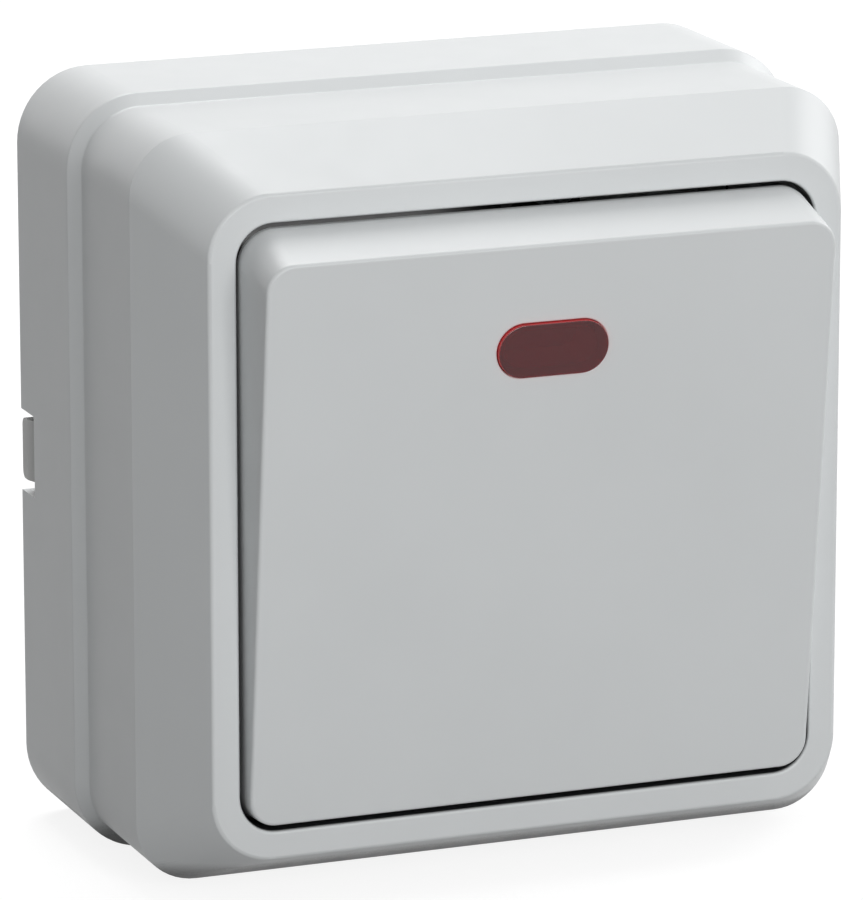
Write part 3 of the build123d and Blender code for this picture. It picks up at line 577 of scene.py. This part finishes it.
def make_spring():
    """The plunger's spring, a still coil along the plunger's axis, whose seat is in the lever."""
    rises = [vertex.co.dot(KEY_OUT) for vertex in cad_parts["plunger_spring"].data.vertices]
    length = max(rises) - min(rises)
    # The plunger's axis runs through the key's pivot
    foot = PIVOT + KEY_OUT * (min(rises) + SPRING_WIRE_RADIUS - PIVOT.dot(KEY_OUT))
    spring = bake_tree(
        "coil_spring", spring_tree(spring_wire),
        Turns=SPRING_TURNS, Radius=SPRING_RADIUS, Height=length - 2 * SPRING_WIRE_RADIUS,
        Steps=SPRING_STEPS,
        **{"Wire Radius": SPRING_WIRE_RADIUS, "Wire Sides": SPRING_WIRE_SIDES},
    )
    along_plunger = KEY_OUT.to_track_quat("Z", "Y").to_matrix().to_4x4()
    spring.data.transform(Matrix.Translation(foot) @ along_plunger)
    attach(spring, "rocker")
    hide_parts("plunger_spring")
    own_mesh(spring)


def seen_directly(tree):
    """1 for camera, mirror and see-through rays, 0 for the rays that light the object."""
    path = add_node(tree, "ShaderNodeLightPath").outputs
    mirror = add_node(
        tree, "ShaderNodeMath",
        {0: path["Is Camera Ray"], 1: path["Is Glossy Ray"]}, operation="MAXIMUM",
    )
    return add_node(
        tree, "ShaderNodeMath",
        {0: mirror.outputs[0], 1: path["Is Transmission Ray"]}, operation="MAXIMUM",
    ).outputs[0]


def floor_material():
    """White to the eye, with the object's shadow, a weaker bounce, and clear from below."""
    material, tree, output, place = new_material("pale_studio_floor")
    seen = add_node(tree, "ShaderNodeBsdfDiffuse", {"Color": grey(FLOOR_SHADE)})
    glow = add_node(
        tree, "ShaderNodeMapRange",
        {
            "Value": add_node(tree, "ShaderNodeLightPath").outputs["Is Camera Ray"],
            "To Min": MIRRORED_FLOOR_GLOW, "To Max": FLOOR_GLOW,
        },
    )
    lift = add_node(
        tree, "ShaderNodeEmission", {"Color": grey(1.0), "Strength": glow.outputs["Result"]}
    )
    shown = add_node(tree, "ShaderNodeAddShader", {0: seen.outputs[0], 1: lift.outputs[0]})
    bounce = add_node(tree, "ShaderNodeBsdfDiffuse", {"Color": grey(FLOOR_BOUNCE)})
    mixed = add_node(
        tree, "ShaderNodeMixShader",
        {0: seen_directly(tree), 1: bounce.outputs[0], 2: shown.outputs[0]},
    )
    from_below = add_node(
        tree, "ShaderNodeMixShader",
        {
            0: add_node(tree, "ShaderNodeNewGeometry").outputs["Backfacing"],
            1: mixed.outputs[0],
            2: add_node(tree, "ShaderNodeBsdfTransparent").outputs[0],
        },
    )
    tree.links.new(from_below.outputs[0], output.inputs["Surface"])
    material.cycles.emission_sampling = "NONE"
    return material


def make_floor():
    """A wide square floor just under the object."""
    level = cad_low.z - FLOOR_CLEARANCE
    corners = [(-1, -1), (1, -1), (1, 1), (-1, 1)]
    mesh = bpy.data.meshes.new("floor")
    mesh.from_pydata(
        [(FLOOR_REACH * x, FLOOR_REACH * y, level) for x, y in corners], [], [(0, 1, 2, 3)]
    )
    mesh.materials.append(floor_material())
    floor = bpy.data.objects.new("floor", mesh)
    bpy.context.scene.collection.objects.link(floor)


def make_world():
    """An even pale sky that lights weakly and shows white."""
    world = bpy.data.worlds.new("studio")
    world.use_nodes = True
    tree = world.node_tree
    tree.nodes.clear()
    strength = add_node(
        tree, "ShaderNodeMapRange",
        {"Value": seen_directly(tree), "To Min": SKY_LEVEL, "To Max": MIRRORED_SKY},
    )
    sky = add_node(
        tree, "ShaderNodeBackground",
        {"Color": grey(1.0), "Strength": strength.outputs["Result"]},
    )
    output = add_node(tree, "ShaderNodeOutputWorld")
    tree.links.new(sky.outputs[0], output.inputs["Surface"])
    world.cycles.sampling_method = "NONE"
    bpy.context.scene.world = world


def make_lamp(name, azimuth, elevation, level):
    """A square soft lamp that gives the middle of the object the stated level of light."""
    lamp = bpy.data.lights.new(name, "AREA")
    lamp.shape = "SQUARE"
    lamp.size = LAMP_WIDTH
    # A lamp of this power spreads its light so that a white face at that distance shows the level
    lamp.energy = pi ** 2 * level * LAMP_DISTANCE ** 2
    holder = bpy.data.objects.new(name, lamp)
    turn = ROOM.copy()
    turn.rotate(Euler((radians(-elevation), 0, radians(azimuth))))
    holder.location = turn * LAMP_DISTANCE
    holder.rotation_euler = (-turn).to_track_quat("-Z", "Y").to_euler()
    bpy.context.scene.collection.objects.link(holder)


def make_camera():
    """The photograph's camera: a long lens from the upper left."""
    camera = bpy.data.cameras.new("camera")
    camera.sensor_width = SENSOR_WIDTH
    camera.lens = CAMERA_LENS
    camera.shift_x, camera.shift_y = CAMERA_SHIFT
    camera.clip_start = CAMERA_NEAR
    camera.clip_end = CAMERA_FAR
    holder = bpy.data.objects.new("camera", camera)
    holder.location = CAMERA_PLACE
    holder.rotation_euler = (radians(90 - CAMERA_ELEVATION), 0, radians(CAMERA_AZIMUTH))
    bpy.context.scene.collection.objects.link(holder)
    bpy.context.scene.camera = holder


make_electrodes()
make_spring()
make_floor()
make_world()
for lamp_values in LAMPS:
    make_lamp(*lamp_values)
make_camera()
bpy.context.scene.view_settings.view_transform = "Standard"
